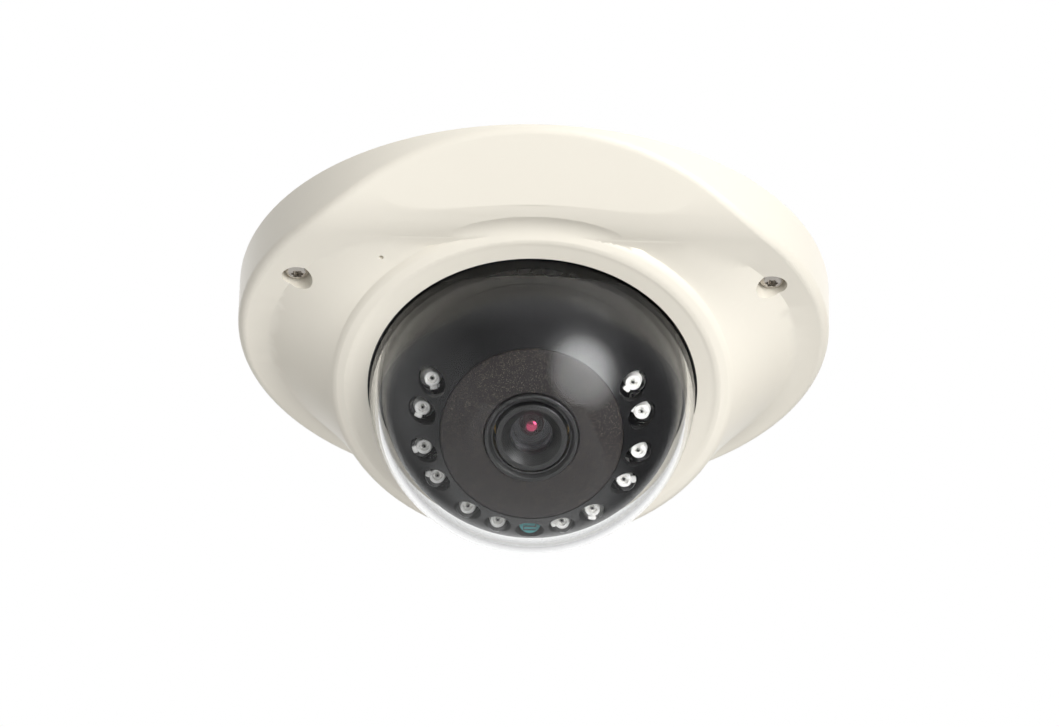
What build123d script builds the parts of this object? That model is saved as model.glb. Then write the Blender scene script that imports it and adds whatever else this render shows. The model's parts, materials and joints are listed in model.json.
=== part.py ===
"""Ceiling dome camera: wedge-shaped cast housing, clear bubble and an aimed camera ball.

Millimetres, +Z up.  The origin is the centre of the mounting face, so the whole camera hangs
below z = 0.  The bubble leans towards -Y.  Depths below the mounting face are positive numbers.
"""

from build123d import *
from math import asin, cos, degrees, radians, sin, sqrt, tan
import os

os.makedirs("parts", exist_ok=True)

# ---------------------------------------------------------------- driving dimensions
FLANGE_R = 62.5            # outside radius at the mounting face
FLANGE_DEPTH = 11.4        # mounting face to the flat underside of the flange
FLANGE_EDGE = 2.0          # rounding of the lower edge
BEVEL_START = 1.35         # height of wall left under the front bevel
BEVEL_SLOPE = 28.8         # degrees from the mounting face
CREST_R = 26.0             # soft turn from the front bevel into the flat underside
WALL = 2.2                 # cover wall

PIVOT_DEPTH = 23.5         # crossing of the pan and tilt axes
DOME_LEAN = 19.0           # bubble axis from straight down, towards -Y
LENS_LEAN = 35.0           # lens axis from straight down, towards -Y, as stored
TILT_MAX = 55.0            # largest lens lean

RIM_T = 1.3                # collar face, measured along the bubble axis from the pivot
OPENING_R = 34.7           # opening in the collar
COLLAR_R = 42.5            # outside of the collar
COLLAR_T = -0.3

BUBBLE_R = 34.3            # outside of the bubble
BUBBLE_WALL = 1.6
BUBBLE_T = 1.8             # centre of the bubble sphere along its axis
BUBBLE_FLANGE_R = 39.2
BUBBLE_FLANGE = 1.7
BUBBLE_SEAT_T = -0.9       # shoulder in the collar that the gasket sits on
GASKET_T = 1.0
RING_THICK = 1.4
RING_SCREW_PITCH_R = 41.2
RING_SCREW_COUNT = 6

VALLEY_RING_R = 42.4       # hollow that runs round the collar
VALLEY_T = 6.8
VALLEY_R = 6.0
TROUGH_RING_R = 110.0      # wide shallow trough behind the crest of the front bevel
TROUGH_AT_R = 43.4
TROUGH_T = 7.25
TROUGH_R = 7.0

BALL_R = 32.0              # camera ball
BALL_WALL = 1.6
BALL_PART_ANGLE = 63.0     # face of the ball ends this far from the lens axis
BALL_BACK_R = 17.0         # back of the ball stays within this radius of the tilt axis
DISC_R = 18.8
DISC_EDGE_H = 25.9
BEZEL_R = 9.65
BEZEL_TOP_H = 28.3

LED_RING_R = 22.7
LED_ANGLES = (17.0, 34.5, 58.0, 76.0, 98.0, 115.0)
LED_R = 2.5
LED_TIP_H = 22.3
CELL_RING_R = 22.9

PLATE_R = 59.2             # base plate
PLATE_T = 2.5
PLATE_FLAT_Y = -52.5       # base plate is cut flat behind the bevel
SEAL_W = 2.2
SEAL_T = 1.4
COVER_SCREW_R = 54.2       # pitch radius of the cover screws
BOSS_TOP = 6.6             # cover's screw bosses start this far down
BOSS_R = 2.7               # threaded bosses of the base plate that they land on
POCKET_R = 3.25
COVER_SCREW_ANGLES = (90.0, 204.0, 336.0)
POCKET_FLOOR = 9.0
CEILING_HOLE_PCD = 90.0
CEILING_HOLE_R = 2.25
CEILING_HOLE_ANGLES = (30.0, 150.0, 270.0)
CABLE_HOLE_R = 8.0
MIC_SPOT = (-31.9, -31.2)
MIC_POCKET_FLOOR = 8.8
MIC_POCKET_R = 3.3
MIC_HOLE_R = 0.5
GROMMET_BORE_R = 3.0

POWER_BOARD_Y = 41.0       # power and network board behind the ball
POWER_BOARD_TOP = 6.0
POWER_HOLES_X = 41.0
POWER_HOLES_Y = 9.6
BOARD_T = 1.2

HUB_R = 12.0               # pan bearing
HUB_END = 4.3
TURNTABLE_TOP = 2.8
TURNTABLE_T = 1.6
TURNTABLE_R = 27.5
CLIP_ANGLES = (90.0, 210.0, 330.0)
CLIP_SCREW_R = 31.2
CLIP_END = 5.4
RIVET_X = 20.0
RIVET_Y = 3.6
ARM_X = 22.6               # inner face of the tilt bracket's arms
ARM_T = 1.2
LUG_X = 24.2

SENSOR_BOARD_H = 6.0       # heights along the lens axis, from the pivot
MAIN_BOARD_H = -1.2
LED_BOARD_H = 11.5
BOARD_HOLES_X = 33.0
BOARD_HOLES_Y = 27.0
POST_RING_R = 13.5
CELL_TOP_H = 19.0
FILTER_H = 9.4
LENS_THREAD_R = 5.97       # M12 lens
LENS_HEAD_R = 7.4
LENS_TOP_H = 28.1
GLASS_R = 4.3              # front glass
GLASS_CURVE_R = 13.5
GLASS_TOP_H = 24.9

CLEAR = 0.05               # radial clearance of screws and pins
SCREW_R = 1.5              # M3
SMALL_SCREW_R = 1.0        # M2

# ---------------------------------------------------------------- frames
PIVOT = Vector(0, 0, -PIVOT_DEPTH)


def leaning_plane(origin, lean):
    """Plane whose normal points down, leaning by that many degrees towards -Y."""
    return Plane(
        origin=origin,
        x_dir=(1, 0, 0),
        z_dir=(0, -sin(radians(lean)), -cos(radians(lean))),
    )


def profile_plane(plane):
    """Plane holding a turned profile: local X is the radius and local Y runs along the axis."""
    return Plane(origin=plane.origin, x_dir=plane.x_dir, z_dir=-plane.y_dir)


def facing_up(plane):
    return Plane(origin=plane.origin, x_dir=plane.x_dir, z_dir=-plane.z_dir)


def axis_of(plane):
    return Axis(plane.origin, plane.z_dir)


def on_arc(radius, angle):
    """Point of a circle about the origin of a profile, that many degrees off the axis."""
    return (radius * sin(radians(angle)), radius * cos(radians(angle)))


def polar(radius, angle):
    return (radius * cos(radians(angle)), radius * sin(radians(angle)))


def save(piece, name):
    piece.label = name
    export_step(piece, f"parts/{name}.step")


dome = leaning_plane(PIVOT, DOME_LEAN)
ball = leaning_plane(PIVOT, LENS_LEAN)
down = leaning_plane((0, 0, 0), 0)
dome_profile = profile_plane(dome)
ball_profile = profile_plane(ball)


def turned(plane, points):
    """Solid of revolution about a plane's normal, from a closed outline of (radius, height)."""
    with BuildPart() as piece:
        with BuildSketch(profile_plane(plane)):
            with BuildLine():
                Polyline(*points, close=True)
            make_face()
        revolve(axis=axis_of(plane))
    return piece.part


def button_screw(plane, head_r, head_h, shank_r, shank_l, socket_r):
    """Button-head screw with a six-lobe socket; the head's seat lies in the plane."""
    with BuildPart() as screw:
        with BuildSketch(profile_plane(plane)):
            with BuildLine():
                Line((0, head_h), (head_r * 0.45, head_h))
                ThreePointArc(
                    (head_r * 0.45, head_h), (head_r * 0.83, head_h * 0.72), (head_r, 0)
                )
                Polyline((head_r, 0), (shank_r, 0), (shank_r, -shank_l), (0, -shank_l), (0, head_h))
            make_face()
        revolve(axis=axis_of(plane))
        with BuildSketch(plane.offset(head_h)):
            Circle(socket_r * 0.72)
            with PolarLocations(socket_r * 0.68, 6):
                Circle(socket_r * 0.32)
        extrude(amount=-head_h * 0.65, mode=Mode.SUBTRACT)
    return screw.part


def disc(plane, radius, low, high, hole_r=0):
    """Plain disc or tube between two heights over a plane."""
    with BuildPart() as piece:
        with BuildSketch(plane.offset(low)):
            Circle(radius)
            if hole_r:
                Circle(hole_r, mode=Mode.SUBTRACT)
        extrude(amount=high - low)
    return piece.part


def group(pieces):
    """Separate solids kept together as one node."""
    return Compound(children=list(pieces))


# ---------------------------------------------------------------- housing cover
bevel = Plane(
    origin=(0, -FLANGE_R, -BEVEL_START),
    x_dir=(1, 0, 0),
    z_dir=(0, -sin(radians(BEVEL_SLOPE)), -cos(radians(BEVEL_SLOPE))),
)

with BuildPart() as flange:
    with BuildSketch(Plane.YZ):
        with BuildLine():
            crest_y = (FLANGE_DEPTH - BEVEL_START) / tan(radians(BEVEL_SLOPE)) - FLANGE_R
            FilletPolyline(
                (-FLANGE_R, -BEVEL_START),
                (crest_y, -FLANGE_DEPTH),
                (FLANGE_R + 1, -FLANGE_DEPTH),
                radius=CREST_R,
            )
            Polyline(
                (FLANGE_R + 1, -FLANGE_DEPTH),
                (FLANGE_R + 1, 0),
                (-FLANGE_R - 1, 0),
                (-FLANGE_R - 1, -BEVEL_START + tan(radians(BEVEL_SLOPE))),
                (-FLANGE_R, -BEVEL_START),
            )
        make_face()
    extrude(amount=FLANGE_R + 1, both=True)
    with BuildSketch(down):
        Circle(FLANGE_R)
    extrude(amount=FLANGE_DEPTH + 1, mode=Mode.INTERSECT)
    rim = flange.edges().filter_by(lambda e: e.geom_type != GeomType.LINE and e.center().Z < -0.1)
    fillet(rim, FLANGE_EDGE)


with BuildPart() as bell:
    for height, lean, radius in ((-7.8, 0, 61.0), (-13.3, 4, 53.5), (-18.5, 11, 47.0)):
        with BuildSketch(facing_up(leaning_plane((0, 0, height), lean))):
            Circle(radius)
    with BuildSketch(facing_up(dome.offset(COLLAR_T))):
        Circle(COLLAR_R)
    loft()
    with BuildSketch(dome_profile):
        with BuildLine():
            lip_r = OPENING_R + 3.0
            root = COLLAR_T - 1.5
            Polyline((COLLAR_R, COLLAR_T), (COLLAR_R - 1.5, root), (0, root), (0, RIM_T), (lip_r, RIM_T))
            Line((lip_r, RIM_T), (lip_r + 0.7, RIM_T + 0.15))
            ThreePointArc(
                (lip_r + 0.7, RIM_T + 0.15), (COLLAR_R - 1.2, RIM_T - 0.5), (COLLAR_R, COLLAR_T)
            )
        make_face()
    revolve(axis=axis_of(dome))
    with BuildSketch(bevel):
        Rectangle(4 * FLANGE_R, 4 * FLANGE_R)
    extrude(amount=FLANGE_R, mode=Mode.SUBTRACT)

with BuildPart() as valley:
    with BuildSketch(dome_profile):
        with Locations((VALLEY_RING_R, VALLEY_T)):
            Circle(VALLEY_R)
    revolve(axis=axis_of(dome))

trough_center = dome.from_local_coords((0, TROUGH_RING_R - TROUGH_AT_R, 0))
trough_plane = Plane(origin=trough_center, x_dir=dome.x_dir, z_dir=dome.z_dir)
with BuildPart() as trough:
    with BuildSketch(profile_plane(trough_plane)):
        with Locations((TROUGH_RING_R, TROUGH_T)):
            Circle(TROUGH_R)
    revolve(axis=axis_of(trough_plane))


def plate_outline(inset):
    """Round outline of the base plate with its front cut flat, pulled in all round."""
    with BuildSketch(mode=Mode.PRIVATE) as outline:
        Circle(PLATE_R - inset)
        with Locations((0, PLATE_FLAT_Y + inset)):
            Rectangle(3 * PLATE_R, PLATE_R, align=(Align.CENTER, Align.MAX), mode=Mode.SUBTRACT)
        fillet(outline.vertices(), 6.0)
    return outline.sketch


def plate_slab(inset, top, bottom):
    """Slab of the base plate's outline between two depths."""
    with BuildPart() as slab:
        with BuildSketch(Plane.XY.offset(-top)):
            add(plate_outline(inset))
        extrude(amount=top - bottom)
    return slab.part


SEAL_SHELF = PLATE_T + SEAL_T + 0.1
CAVITY_WAIST = 7.6
CAVITY_R = 43.2
RING_T = BUBBLE_SEAT_T - GASKET_T - BUBBLE_FLANGE
cover_screw_spots = [polar(COVER_SCREW_R, angle) for angle in COVER_SCREW_ANGLES]

with BuildPart() as front_room:
    add(plate_slab(-0.4, 0, SEAL_SHELF))
    add(plate_slab(SEAL_W, SEAL_SHELF, CAVITY_WAIST))
    split(bisect_by=bevel.offset(-WALL), keep=Keep.BOTTOM)

with BuildPart() as cavity:
    with BuildSketch(Plane.XY.offset(-SEAL_SHELF - 1.6)):
        Circle(PLATE_R - SEAL_W)
    with BuildSketch(facing_up(leaning_plane((0, 0, -11.0), 4))):
        Circle(50.8)
    with BuildSketch(facing_up(dome.offset(RING_T))):
        Circle(CAVITY_R)
    loft()
    split(bisect_by=bevel.offset(-WALL), keep=Keep.BOTTOM)
    add(front_room.part)
    add(disc(dome, CAVITY_R, -14.0, RING_T))
    add(disc(dome, BUBBLE_FLANGE_R + 0.5, RING_T - 1.0, BUBBLE_SEAT_T))
    add(disc(dome, OPENING_R, BUBBLE_SEAT_T - 1.0, RIM_T + 4.0))
    for spot in cover_screw_spots:
        with BuildSketch(Plane.XY.offset(-BOSS_TOP)):
            with Locations(spot):
                Circle(5.2)
        extrude(amount=-30, mode=Mode.SUBTRACT)
        with BuildSketch(Plane.XY.offset(-SEAL_SHELF)):
            with Locations(spot):
                Circle(BOSS_R + 0.25)
        extrude(amount=SEAL_SHELF - BOSS_TOP)

with BuildPart() as housing_cover:
    add(flange.part)
    add(bell.part)
    add(valley.part, mode=Mode.SUBTRACT)
    add(trough.part, mode=Mode.SUBTRACT)
    add(cavity.part, mode=Mode.SUBTRACT)
    with BuildSketch(Plane.XY.offset(-POCKET_FLOOR)):
        with Locations(*cover_screw_spots):
            Circle(POCKET_R)
    extrude(amount=-30, mode=Mode.SUBTRACT)
    with BuildSketch(Plane.XY.offset(-POCKET_FLOOR - 1)):
        with Locations(*cover_screw_spots):
            Circle(SCREW_R + 0.2)
    extrude(amount=8, mode=Mode.SUBTRACT)
    with BuildSketch(Plane.XY.offset(-MIC_POCKET_FLOOR)):
        with Locations(MIC_SPOT):
            Circle(MIC_POCKET_R)
    extrude(amount=6, mode=Mode.SUBTRACT)
    with BuildSketch(Plane.XY.offset(-20)):
        with Locations(MIC_SPOT):
            Circle(MIC_HOLE_R)
    extrude(amount=15, mode=Mode.SUBTRACT)
    with BuildSketch(dome.offset(RING_T - 0.5)):
        with PolarLocations(RING_SCREW_PITCH_R, RING_SCREW_COUNT):
            Circle(SMALL_SCREW_R + CLEAR)
    extrude(amount=2.4, mode=Mode.SUBTRACT)
save(housing_cover.part, "housing_cover")

# ---------------------------------------------------------------- bubble and its clamp
with BuildPart() as dome_bubble:
    with BuildSketch(dome_profile):
        with BuildLine():
            inner_r = BUBBLE_R - BUBBLE_WALL
            flange_t = RING_T + BUBBLE_FLANGE
            outer = [(x, BUBBLE_T + y) for x, y in (on_arc(BUBBLE_R, a) for a in (0, 45, 90))]
            inner = [(x, BUBBLE_T + y) for x, y in (on_arc(inner_r, a) for a in (90, 45, 0))]
            ThreePointArc(*outer)
            Polyline(
                (BUBBLE_R, BUBBLE_T),
                (BUBBLE_R, flange_t),
                (BUBBLE_FLANGE_R, flange_t),
                (BUBBLE_FLANGE_R, RING_T),
                (inner_r, RING_T),
                (inner_r, BUBBLE_T),
            )
            ThreePointArc(*inner)
            Line(inner[-1], outer[0])
        make_face()
    revolve(axis=axis_of(dome))
save(dome_bubble.part, "dome_bubble")

gasket_in = BUBBLE_R + 0.03
lip_out = OPENING_R - 0.03
dome_gasket = turned(
    dome,
    [
        (gasket_in, BUBBLE_SEAT_T - GASKET_T),
        (BUBBLE_FLANGE_R + 0.3, BUBBLE_SEAT_T - GASKET_T),
        (BUBBLE_FLANGE_R + 0.3, BUBBLE_SEAT_T),
        (lip_out, BUBBLE_SEAT_T),
        (lip_out, RIM_T - 0.3),
        (gasket_in, RIM_T - 0.3),
    ],
)
save(dome_gasket, "dome_gasket")

with BuildPart() as dome_retaining_ring:
    with BuildSketch(dome.offset(RING_T)):
        Circle(CAVITY_R - 0.4)
        Circle(BUBBLE_R - BUBBLE_WALL + 0.5, mode=Mode.SUBTRACT)
        with PolarLocations(RING_SCREW_PITCH_R, RING_SCREW_COUNT):
            Circle(SMALL_SCREW_R + CLEAR, mode=Mode.SUBTRACT)
    extrude(amount=-RING_THICK)
save(dome_retaining_ring.part, "dome_retaining_ring")

ring_back = facing_up(dome.offset(RING_T - RING_THICK))
ring_screws = []
for index in range(RING_SCREW_COUNT):
    x, y = polar(RING_SCREW_PITCH_R, index * 360 / RING_SCREW_COUNT)
    spot = dome.offset(RING_T - RING_THICK).from_local_coords((x, y, 0))
    seat = Plane(origin=spot, x_dir=ring_back.x_dir, z_dir=ring_back.z_dir)
    ring_screws.append(button_screw(seat, 1.5, 1.1, SMALL_SCREW_R, 3.2, 0.75))
save(group(ring_screws), "retaining_ring_screws")

# ---------------------------------------------------------------- base plate and what it carries
ceiling_spots = [polar(CEILING_HOLE_PCD / 2, angle) for angle in CEILING_HOLE_ANGLES]
clip_spots = [polar(CLIP_SCREW_R, angle) for angle in CLIP_ANGLES]

with BuildPart() as base_plate:
    add(plate_slab(0, 0, PLATE_T))
    with BuildSketch(Plane.XY.offset(-PLATE_T)):
        with Locations(*cover_screw_spots):
            Circle(BOSS_R)
    extrude(amount=-(BOSS_TOP - 0.2 - PLATE_T))
    with BuildSketch(Plane.XY.offset(-PLATE_T)):
        with Locations((0, POWER_BOARD_Y)):
            with GridLocations(POWER_HOLES_X, POWER_HOLES_Y, 2, 2):
                Circle(2.4)
    extrude(amount=-(POWER_BOARD_TOP - PLATE_T))
    with BuildSketch(Plane.XY.offset(-PLATE_T)):
        Circle(HUB_R)
    extrude(amount=-(HUB_END - PLATE_T))
    with BuildSketch(Plane.XY.offset(-PLATE_T)):
        Circle(HUB_R - 2)
    extrude(amount=-5, mode=Mode.SUBTRACT)
    with BuildSketch():
        Circle(CABLE_HOLE_R)
        with Locations(*ceiling_spots):
            Circle(CEILING_HOLE_R)
    extrude(amount=-PLATE_T, mode=Mode.SUBTRACT)
    with BuildSketch(Plane.XY.offset(-1.0)):
        with Locations(*cover_screw_spots):
            Circle(SCREW_R + CLEAR)
    extrude(amount=-10, mode=Mode.SUBTRACT)
    with BuildSketch(Plane.XY.offset(-0.6)):
        with Locations(*clip_spots):
            Circle(SMALL_SCREW_R + CLEAR)
        with Locations((0, POWER_BOARD_Y)):
            with GridLocations(POWER_HOLES_X, POWER_HOLES_Y, 2, 2):
                Circle(SMALL_SCREW_R + CLEAR)
    extrude(amount=-8, mode=Mode.SUBTRACT)
save(base_plate.part, "base_plate")

with BuildPart() as cover_seal:
    add(plate_slab(0.1, PLATE_T, PLATE_T + SEAL_T))
    add(plate_slab(SEAL_W - 0.1, PLATE_T, PLATE_T + SEAL_T), mode=Mode.SUBTRACT)
save(cover_seal.part, "cover_seal")

cable_grommet = turned(
    down,
    [
        (GROMMET_BORE_R, 0),
        (CABLE_HOLE_R - CLEAR, 0),
        (CABLE_HOLE_R - CLEAR, PLATE_T),
        (HUB_R - 2.2, PLATE_T),
        (HUB_R - 2.2, PLATE_T + 1.0),
        (GROMMET_BORE_R + 1.6, PLATE_T + 1.6),
        (GROMMET_BORE_R, PLATE_T + 1.6),
    ],
)
save(cable_grommet, "cable_grommet")

cover_screws = []
screw_seals = []
for x, y in cover_screw_spots:
    seat = leaning_plane((x, y, -POCKET_FLOOR - 0.3), 0)
    cover_screws.append(button_screw(seat, 2.85, 1.65, SCREW_R, 7.7, 1.35))
    screw_seals.append(disc(leaning_plane((x, y, -POCKET_FLOOR), 0), 2.8, 0, 0.3, SCREW_R + CLEAR))
save(group(cover_screws), "cover_screws")
save(group(screw_seals), "cover_screw_seals")

mic_axis = leaning_plane((*MIC_SPOT, 0), 0)
save(disc(mic_axis, 2.5, MIC_POCKET_FLOOR - 2.4, MIC_POCKET_FLOOR - 0.1), "microphone")
save(disc(mic_axis, 3.2, MIC_POCKET_FLOOR - 3.0, MIC_POCKET_FLOOR - 0.1, 2.53), "microphone_boot")

with BuildPart() as power_board:
    with BuildSketch(Plane.XY.offset(-POWER_BOARD_TOP)):
        with Locations((0, POWER_BOARD_Y)):
            RectangleRounded(46, 15, 1.5)
            with GridLocations(POWER_HOLES_X, POWER_HOLES_Y, 2, 2):
                Circle(SMALL_SCREW_R + CLEAR, mode=Mode.SUBTRACT)
    extrude(amount=-BOARD_T)
save(power_board.part, "power_board")

board_face = POWER_BOARD_TOP + BOARD_T
power_screws = []
for x in (-POWER_HOLES_X / 2, POWER_HOLES_X / 2):
    for y in (-POWER_HOLES_Y / 2, POWER_HOLES_Y / 2):
        seat = leaning_plane((x, POWER_BOARD_Y + y, -board_face), 0)
        power_screws.append(button_screw(seat, 1.9, 1.3, SMALL_SCREW_R, 6.5, 0.8))
save(group(power_screws), "power_board_screws")


def block(center, size, height, radius=0.4):
    """Component body standing on the lower face of the power board."""
    with BuildPart() as body:
        with BuildSketch(Plane.XY.offset(-board_face)):
            with Locations(center):
                RectangleRounded(*size, radius)
        extrude(amount=-height)
        fillet(body.faces().sort_by(Axis.Z)[0].edges(), 0.3)
    return body.part


def socket(center, size, height):
    """Open-topped cable socket with a row of pins."""
    with BuildPart() as body:
        with BuildSketch(Plane.XY.offset(-board_face)):
            with Locations(center):
                Rectangle(*size)
        extrude(amount=-height)
        with BuildSketch(Plane.XY.offset(-board_face - 1.0)):
            with Locations(center):
                Rectangle(size[0] - 1.2, size[1] - 1.2)
        extrude(amount=-height, mode=Mode.SUBTRACT)
        with BuildSketch(Plane.XY.offset(-board_face - 1.0)):
            with Locations(center):
                with GridLocations(1.5, 1, 4, 1):
                    Rectangle(0.5, 0.5)
        extrude(amount=-(height - 1.8))
    return body.part


save(block((-11.5, POWER_BOARD_Y), (9, 9), 5.0, 2.0), "power_inductor")
save(block((0.5, POWER_BOARD_Y + 1.0), (11, 8), 4.6), "network_transformer")
capacitors = [
    disc(leaning_plane((-4.8, POWER_BOARD_Y - 5.3, 0), 0), 1.7, board_face, board_face + 5.0),
    disc(leaning_plane((-0.6, POWER_BOARD_Y - 5.3, 0), 0), 1.7, board_face, board_face + 5.0),
]
save(group(capacitors), "capacitors")
sockets = [
    socket((12.5, POWER_BOARD_Y + 4.0), (8, 4.2), 5.0),
    socket((12.5, POWER_BOARD_Y - 3.6), (8, 4.2), 5.0),
]
save(group(sockets), "cable_sockets")

# ---------------------------------------------------------------- turntable and tilt bracket
with BuildPart() as turntable:
    with BuildSketch(Plane.XY.offset(-TURNTABLE_TOP)):
        Circle(TURNTABLE_R)
        Circle(HUB_R + CLEAR, mode=Mode.SUBTRACT)
        with GridLocations(2 * RIVET_X, 2 * RIVET_Y, 2, 2):
            Circle(SMALL_SCREW_R + CLEAR, mode=Mode.SUBTRACT)
        with PolarLocations(TURNTABLE_R, 36):
            Circle(0.45, mode=Mode.SUBTRACT)
    extrude(amount=-TURNTABLE_T)
save(turntable.part, "turntable")

clips = []
clip_screws = []
for angle in CLIP_ANGLES:
    across = Plane(origin=(0, 0, -PLATE_T), x_dir=(*polar(1, angle), 0), z_dir=(0, 0, -1))
    with BuildPart() as clip:
        with BuildSketch(across):
            with Locations((TURNTABLE_R + 0.4, 0)):
                Rectangle(6.3, 7, align=(Align.MIN, Align.CENTER))
        extrude(amount=CLIP_END - PLATE_T)
        with BuildSketch(across.offset(CLIP_END - PLATE_T)):
            with Locations((TURNTABLE_R - 2.3, 0)):
                Rectangle(9.0, 7, align=(Align.MIN, Align.CENTER))
        extrude(amount=-(CLIP_END - TURNTABLE_TOP - TURNTABLE_T - 0.1))
        with BuildSketch(across):
            with Locations((CLIP_SCREW_R, 0)):
                Circle(SMALL_SCREW_R + CLEAR)
        extrude(amount=5, mode=Mode.SUBTRACT)
    clips.append(clip.part)
    x, y = polar(CLIP_SCREW_R, angle)
    seat = leaning_plane((x, y, -CLIP_END), 0)
    clip_screws.append(button_screw(seat, 1.8, 0.8, SMALL_SCREW_R, 4.5, 0.8))
save(group(clips), "turntable_clips")
save(group(clip_screws), "turntable_clip_screws")

BRACKET_TOP = TURNTABLE_TOP + TURNTABLE_T
with BuildPart() as tilt_bracket:
    with BuildSketch(Plane.XY.offset(-BRACKET_TOP)):
        Circle(16.0)
        Rectangle(2 * (ARM_X + ARM_T), 12)
        Circle(HUB_R - 1.2, mode=Mode.SUBTRACT)
        with GridLocations(2 * RIVET_X, 2 * RIVET_Y, 2, 2):
            Circle(SMALL_SCREW_R + CLEAR, mode=Mode.SUBTRACT)
    extrude(amount=-ARM_T)
    for side in (-1, 1):
        arm_plane = Plane(origin=(side * ARM_X, 0, 0), x_dir=(0, 1, 0), z_dir=(1, 0, 0))
        with BuildSketch(arm_plane):
            with BuildLine():
                Polyline((-4, -PIVOT_DEPTH), (-4, -14), (-6, -9), (-6, -BRACKET_TOP))
                Polyline((-6, -BRACKET_TOP), (6, -BRACKET_TOP), (6, -9), (4, -14), (4, -PIVOT_DEPTH))
                RadiusArc((4, -PIVOT_DEPTH), (-4, -PIVOT_DEPTH), 4)
            make_face()
            with Locations((0, -PIVOT_DEPTH)):
                Circle(SCREW_R + CLEAR, mode=Mode.SUBTRACT)
        extrude(amount=side * ARM_T)
save(tilt_bracket.part, "tilt_bracket")

rivets = []
for x in (-RIVET_X, RIVET_X):
    for y in (-RIVET_Y, RIVET_Y):
        seat = leaning_plane((x, y, -BRACKET_TOP - ARM_T), 0)
        low = -(ARM_T + TURNTABLE_T - 0.1)
        rivets.append(turned(seat, [(0, 0.7), (1.0, 0.65), (1.6, 0), (1.0, 0), (1.0, low), (0, low)]))
save(group(rivets), "bracket_rivets")

# ---------------------------------------------------------------- camera ball
with BuildPart() as ball_front:
    with BuildSketch(ball_profile):
        with BuildLine():
            inner_ball = BALL_R - BALL_WALL
            seat_h = DISC_EDGE_H - 1.0
            web_h = seat_h - 1.5
            seat_r = DISC_R + 0.1
            outer = [on_arc(BALL_R, BALL_PART_ANGLE), on_arc(BALL_R, 50)]
            outer.append((seat_r, sqrt(BALL_R**2 - seat_r**2)))
            inner = [(sqrt(inner_ball**2 - web_h**2), web_h), on_arc(inner_ball, 50)]
            inner.append(on_arc(inner_ball, BALL_PART_ANGLE))
            ThreePointArc(*outer)
            Polyline(outer[-1], (seat_r, seat_h), (BEZEL_R + 0.2, seat_h))
            Polyline((BEZEL_R + 0.2, seat_h), (BEZEL_R + 0.2, web_h), inner[0])
            ThreePointArc(*inner)
            Line(inner[-1], outer[0])
        make_face()
    revolve(axis=axis_of(ball))
    with BuildSketch(ball.offset(LED_BOARD_H + BOARD_T)):
        with PolarLocations(POST_RING_R, 3, start_angle=90):
            Circle(2.2)
    extrude(amount=web_h - LED_BOARD_H - BOARD_T + 0.2)
    with BuildSketch(ball.offset(LED_BOARD_H)):
        with PolarLocations(POST_RING_R, 3, start_angle=90):
            Circle(SMALL_SCREW_R + CLEAR)
    extrude(amount=8.0, mode=Mode.SUBTRACT)
    with BuildSketch(ball.offset(LED_BOARD_H + BOARD_T)):
        for angle in LED_ANGLES:
            with Locations(polar(LED_RING_R, angle - 90), polar(LED_RING_R, -angle - 90)):
                Circle(LED_R + 0.3)
        with Locations((0, -CELL_RING_R - 0.3)):
            Circle(3.0)
    extrude(amount=30, mode=Mode.SUBTRACT)
save(ball_front.part, "ball_front")

back_up = Vector(0, sin(radians(LENS_LEAN)), cos(radians(LENS_LEAN)))
full_up = Vector(0, -sin(radians(TILT_MAX - LENS_LEAN)), cos(radians(TILT_MAX - LENS_LEAN)))
back_side = Vector(0, back_up.Z, -back_up.Y)
full_side = Vector(0, -full_up.Z, full_up.Y)
side_view = Plane(origin=PIVOT, x_dir=(0, 1, 0), z_dir=(1, 0, 0))


def flat(vector):
    return (vector.Y, vector.Z)


with BuildPart() as ball_envelope:
    with BuildSketch(side_view):
        Circle(BALL_BACK_R)
        with BuildLine():
            back_corner = back_up * BALL_BACK_R
            full_corner = full_up * BALL_BACK_R
            Polyline(
                flat(back_corner),
                flat(back_corner + back_side * 45),
                flat(back_corner + back_side * 45 - back_up * 60),
                flat(full_corner + full_side * 45 - full_up * 60),
                flat(full_corner + full_side * 45),
                flat(full_corner),
                close=True,
            )
        make_face()
    extrude(amount=40, both=True)

with BuildPart() as ball_rear:
    with BuildSketch(ball_profile):
        with BuildLine():
            start = BALL_PART_ANGLE + 0.3
            outer = [on_arc(BALL_R, angle) for angle in (start, 95, 140)]
            inner = [on_arc(BALL_R - BALL_WALL, angle) for angle in (140, 95, start)]
            ThreePointArc(*outer)
            Line(outer[-1], inner[0])
            ThreePointArc(*inner)
            Line(inner[-1], outer[0])
        make_face()
    revolve(axis=axis_of(ball))
    for side in (-1, 1):
        lug_plane = Plane(origin=PIVOT + Vector(side * LUG_X, 0, 0), x_dir=(0, 1, 0), z_dir=(side, 0, 0))
        with BuildSketch(lug_plane):
            Circle(4.2)
        extrude(amount=BALL_R - 1.2 - LUG_X)
        with BuildSketch(lug_plane):
            Circle(SCREW_R + 0.02)
        extrude(amount=4.8, mode=Mode.SUBTRACT)
    add(ball_envelope.part, mode=Mode.INTERSECT)
save(ball_rear.part, "ball_rear")

pivot_screws = []
washers = []
for side in (-1, 1):
    head_x = ARM_X - 0.05
    seat = Plane(origin=PIVOT + Vector(side * head_x, 0, 0), x_dir=(0, 1, 0), z_dir=(-side, 0, 0))
    pivot_screws.append(button_screw(seat, 2.6, 1.3, SCREW_R, 6.2, 1.1))
    washers.append(disc(seat, 3.4, head_x - LUG_X + 0.05, -ARM_T - 0.1, SCREW_R + CLEAR))
save(group(pivot_screws), "tilt_pivot_screws")
save(group(washers), "tilt_friction_washers")

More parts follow.
